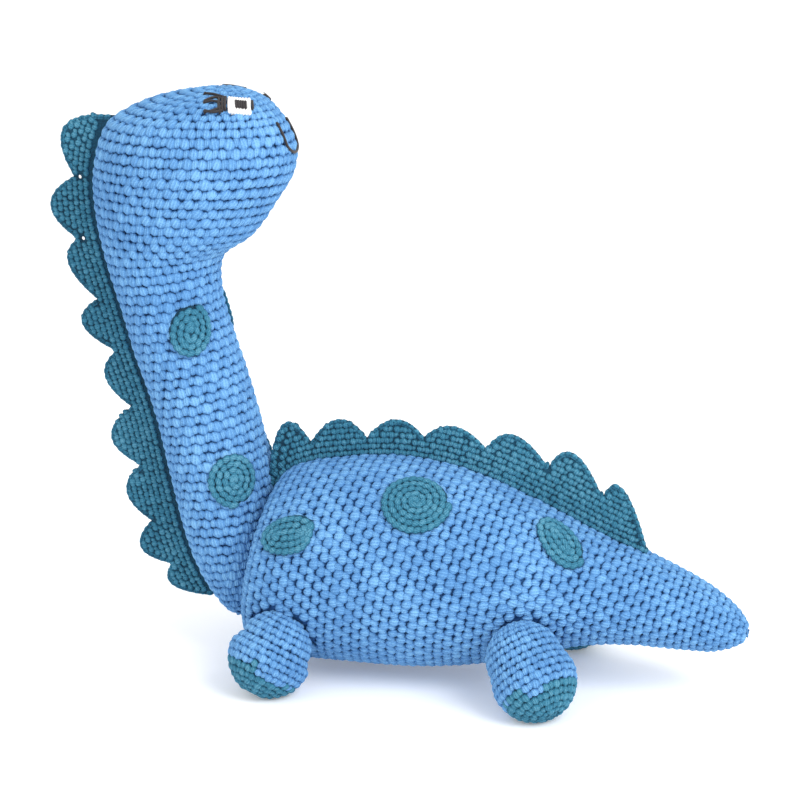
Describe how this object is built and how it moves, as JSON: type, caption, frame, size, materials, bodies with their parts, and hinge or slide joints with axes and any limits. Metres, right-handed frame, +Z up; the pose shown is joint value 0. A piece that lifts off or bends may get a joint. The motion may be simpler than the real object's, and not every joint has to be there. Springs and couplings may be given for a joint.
{
  "type": "stuffed dinosaur",
  "caption": "Crocheted, stuffed long-necked dinosaur on four short legs, with a scalloped plate strip along neck and back and oval spots on its sides.",
  "frame": {"origin": "under the middle of the toy's box, on the surface that its feet stand on", "axes": "+X towards the tail along the body, +Z up, -Y the animal's left side"},
  "size_m": [0.3104, 0.125, 0.2545],
  "materials": {
    "blue_cotton": "matte cotton yarn worked in single crochet, sky blue",
    "teal_cotton": "matte cotton yarn worked in single crochet, dark teal",
    "stuffing": "loose polyester fibre",
    "white_satin": "white satin-stitched thread",
    "dark_thread": "dark brown embroidery thread"
  },
  "bodies": {
    "torso": {"body_cover": "blue_cotton", "body_stuffing": "stuffing", "chest_cover": "blue_cotton", "chest_stuffing": "stuffing", "neck_seam_yarn": "blue_cotton", "chest_plates": "teal_cotton", "back_plates": "teal_cotton", "left_chest_spot": "teal_cotton", "left_shoulder_spot": "teal_cotton", "left_flank_spot": "teal_cotton", "left_rump_spot": "teal_cotton", "right_chest_spot": "teal_cotton", "right_shoulder_spot": "teal_cotton", "right_flank_spot": "teal_cotton", "right_rump_spot": "teal_cotton"},
    "head_neck": {"neck_head_cover": "blue_cotton", "neck_head_stuffing": "stuffing", "neck_plates": "teal_cotton", "mouth_thread": "dark_thread", "left_neck_spot": "teal_cotton", "left_eye_white": "white_satin", "left_pupil": "dark_thread", "left_lashes": "dark_thread", "right_neck_spot": "teal_cotton", "right_eye_white": "white_satin", "right_pupil": "dark_thread", "right_lashes": "dark_thread"},
    "tail": {"tail_cover": "blue_cotton", "tail_stuffing": "stuffing"},
    "front_left_leg": {"front_left_leg_cover": "blue_cotton", "front_left_foot_cap": "teal_cotton", "front_left_leg_stuffing": "stuffing"},
    "front_right_leg": {"front_right_leg_cover": "blue_cotton", "front_right_foot_cap": "teal_cotton", "front_right_leg_stuffing": "stuffing"},
    "rear_left_leg": {"rear_left_leg_cover": "blue_cotton", "rear_left_foot_cap": "teal_cotton", "rear_left_leg_stuffing": "stuffing"},
    "rear_right_leg": {"rear_right_leg_cover": "blue_cotton", "rear_right_foot_cap": "teal_cotton", "rear_right_leg_stuffing": "stuffing"}
  },
  "joints": [
    {"name": "neck_bend", "type": "hinge", "parent": "torso", "child": "head_neck", "pos_m": [-0.08175, 0, 0.1], "axis": [0, 1, 0], "range_deg": [-8, 12], "stiffness_Nm_per_rad": 1.2},
    {"name": "tail_bend", "type": "hinge", "parent": "torso", "child": "tail", "pos_m": [0.11425, 0, 0.0382], "axis": [0, 0, 1], "range_deg": [-12, 12], "stiffness_Nm_per_rad": 0.15},
    {"name": "front_left_leg_swing", "type": "hinge", "parent": "torso", "child": "front_left_leg", "pos_m": [-0.04215, -0.043, 0.0208], "axis": [0, 1, 0], "range_deg": [-10, 10], "stiffness_Nm_per_rad": 0.25},
    {"name": "front_right_leg_swing", "type": "hinge", "parent": "torso", "child": "front_right_leg", "pos_m": [-0.04215, 0.043, 0.0208], "axis": [0, 1, 0], "range_deg": [-10, 10], "stiffness_Nm_per_rad": 0.25},
    {"name": "rear_left_leg_swing", "type": "hinge", "parent": "torso", "child": "rear_left_leg", "pos_m": [0.06585, -0.0407, 0.0239], "axis": [0, 1, 0], "range_deg": [-10, 10], "stiffness_Nm_per_rad": 0.25},
    {"name": "rear_right_leg_swing", "type": "hinge", "parent": "torso", "child": "rear_right_leg", "pos_m": [0.06585, 0.0407, 0.0239], "axis": [0, 1, 0], "range_deg": [-10, 10], "stiffness_Nm_per_rad": 0.25}
  ]
}
